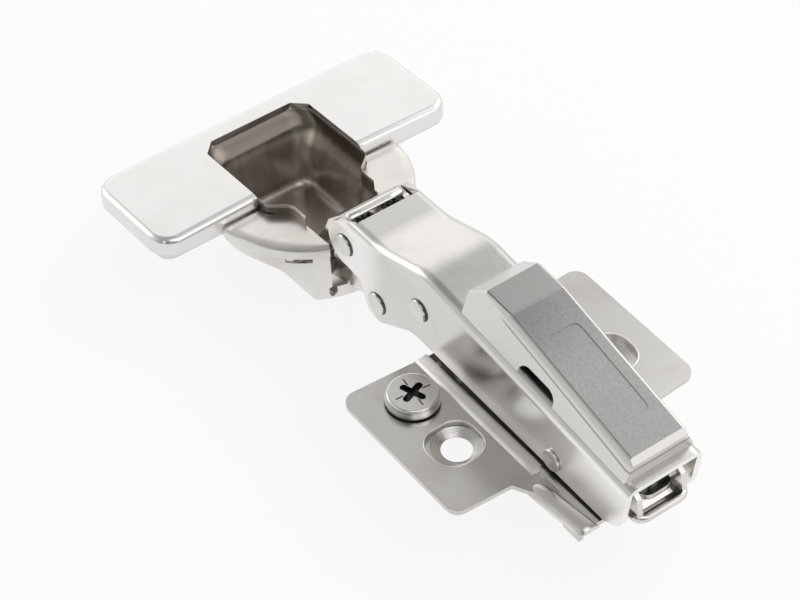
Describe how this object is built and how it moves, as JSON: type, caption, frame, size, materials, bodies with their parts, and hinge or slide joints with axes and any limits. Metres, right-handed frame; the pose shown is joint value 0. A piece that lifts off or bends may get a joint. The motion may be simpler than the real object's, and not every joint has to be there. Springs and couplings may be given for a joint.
{
  "type": "concealed cup hinge",
  "caption": "Concealed clip-on cup hinge with cover caps, cam adjusters and a soft-close damper, shown with the door open.",
  "frame": {"origin": "midpoint between the two screw holes of the base plate, on the face that meets the cabinet side", "axes": "+X along the arm from the cup to its rear end, +Y along the plate's wings, +Z away from the cabinet side"},
  "size_m": [0.1196, 0.064, 0.0376],
  "materials": {
    "plate_nickel": "bright nickel plating on stamped steel",
    "arm_nickel": "bright nickel plating on folded steel",
    "link_nickel": "bright nickel plating on folded steel",
    "cup_nickel": "bright nickel plating on die-cast zinc",
    "cup_cover_nickel": "very bright smooth plating",
    "cam_nickel": "nickel plated turned steel",
    "cover_grain": "nickel with a fine grained matte face",
    "pin_steel": "plated steel pin",
    "spring_wire": "spring wire",
    "damper_grey": "grey moulded plastic"
  },
  "bodies": {
    "base": {"base_plate": "plate_nickel"},
    "plate": {"mounting_plate": "plate_nickel", "adapter": "plate_nickel", "hook_pin": "pin_steel", "lever_pin": "pin_steel", "lever_spring": "spring_wire"},
    "height_cam": {"height_cam": "cam_nickel"},
    "guide_rivets": {"guide_rivets": "pin_steel"},
    "depth_cam": {"depth_cam": "cam_nickel"},
    "side_screw": {"side_screw": "cam_nickel"},
    "arm": {"arm": "arm_nickel", "arm_cover": "cover_grain", "arm_pin_front": "pin_steel", "arm_pin_lower": "pin_steel", "damper_pin": "pin_steel", "damper_body": "damper_grey", "closing_spring": "spring_wire"},
    "outer_link": {"outer_link": "link_nickel"},
    "inner_link": {"inner_link": "link_nickel"},
    "damper_rod": {"damper_rod": "pin_steel"},
    "cup": {"cup": "cup_nickel", "cup_cover": "cup_cover_nickel", "cup_staple": "pin_steel", "cup_stud": "pin_steel"},
    "release_lever": {"release_lever": "plate_nickel"}
  },
  "joints": [
    {"name": "height_slide", "type": "slide", "parent": "base", "child": "plate", "axis": [0, 1, 0], "range_m": [-0.00173, 0.00173]},
    {"name": "height_cam_turn", "type": "hinge", "parent": "plate", "child": "height_cam", "pos_m": [-0.0117, -0.0162, 0], "axis": [0, 0, 1], "range_deg": [-60.01, 60.01]},
    {"name": "depth_slide", "type": "slide", "parent": "plate", "child": "guide_rivets", "axis": [1, 0, 0], "range_m": [-0.0015, 0.0015]},
    {"name": "depth_cam_turn", "type": "hinge", "parent": "plate", "child": "depth_cam", "pos_m": [0.009, 0, 0.01619], "axis": [0.1064, 0, 0.9943], "range_deg": [-60.01, 60.01]},
    {"name": "arm_tilt", "type": "hinge", "parent": "guide_rivets", "child": "arm", "pos_m": [0.0144, 0, 0.0053], "axis": [0, 1, 0], "range_deg": [0, 1.5]},
    {"name": "side_screw_turn", "type": "hinge", "parent": "arm", "child": "side_screw", "pos_m": [-0.004, 0, 0.01758], "axis": [0.1064, 0, 0.9943], "range_deg": [0, 247.5]},
    {"name": "outer_link_turn", "type": "hinge", "parent": "arm", "child": "outer_link", "pos_m": [-0.0422, 0, 0.0093], "axis": [0, -1, 0], "range_deg": [0, 15.25]},
    {"name": "door_turn", "type": "hinge", "parent": "outer_link", "child": "cup", "pos_m": [-0.05177, 0, -0.00076], "axis": [0, 1, 0], "range_deg": [0, 110.5]},
    {"name": "inner_link_turn", "type": "hinge", "parent": "arm", "child": "inner_link", "pos_m": [-0.0328, 0, 0.0026], "axis": [0, 1, 0], "range_deg": [0, 9.54]},
    {"name": "damper_push", "type": "slide", "parent": "arm", "child": "damper_rod", "axis": [1, 0, 0], "range_m": [0, 0.00161]},
    {"name": "release_press", "type": "hinge", "parent": "plate", "child": "release_lever", "pos_m": [0.0275, 0, 0.0104], "axis": [0, 1, 0], "range_deg": [0, 12], "stiffness_Nm_per_rad": 0.02}
  ],
  "couplings": [
    {"joint": "height_cam_turn", "follows": "height_slide", "rad_per_m": -605.32},
    {"joint": "depth_cam_turn", "follows": "depth_slide", "rad_per_m": -698.13},
    {"joint": "side_screw_turn", "follows": "arm_tilt", "ratio": 165},
    {"joint": "outer_link_turn", "follows": "door_turn", "ratio": 0.13793},
    {"joint": "inner_link_turn", "follows": "door_turn", "ratio": 0.086207},
    {"joint": "damper_push", "follows": "door_turn", "m_per_rad": 0.00083621}
  ]
}
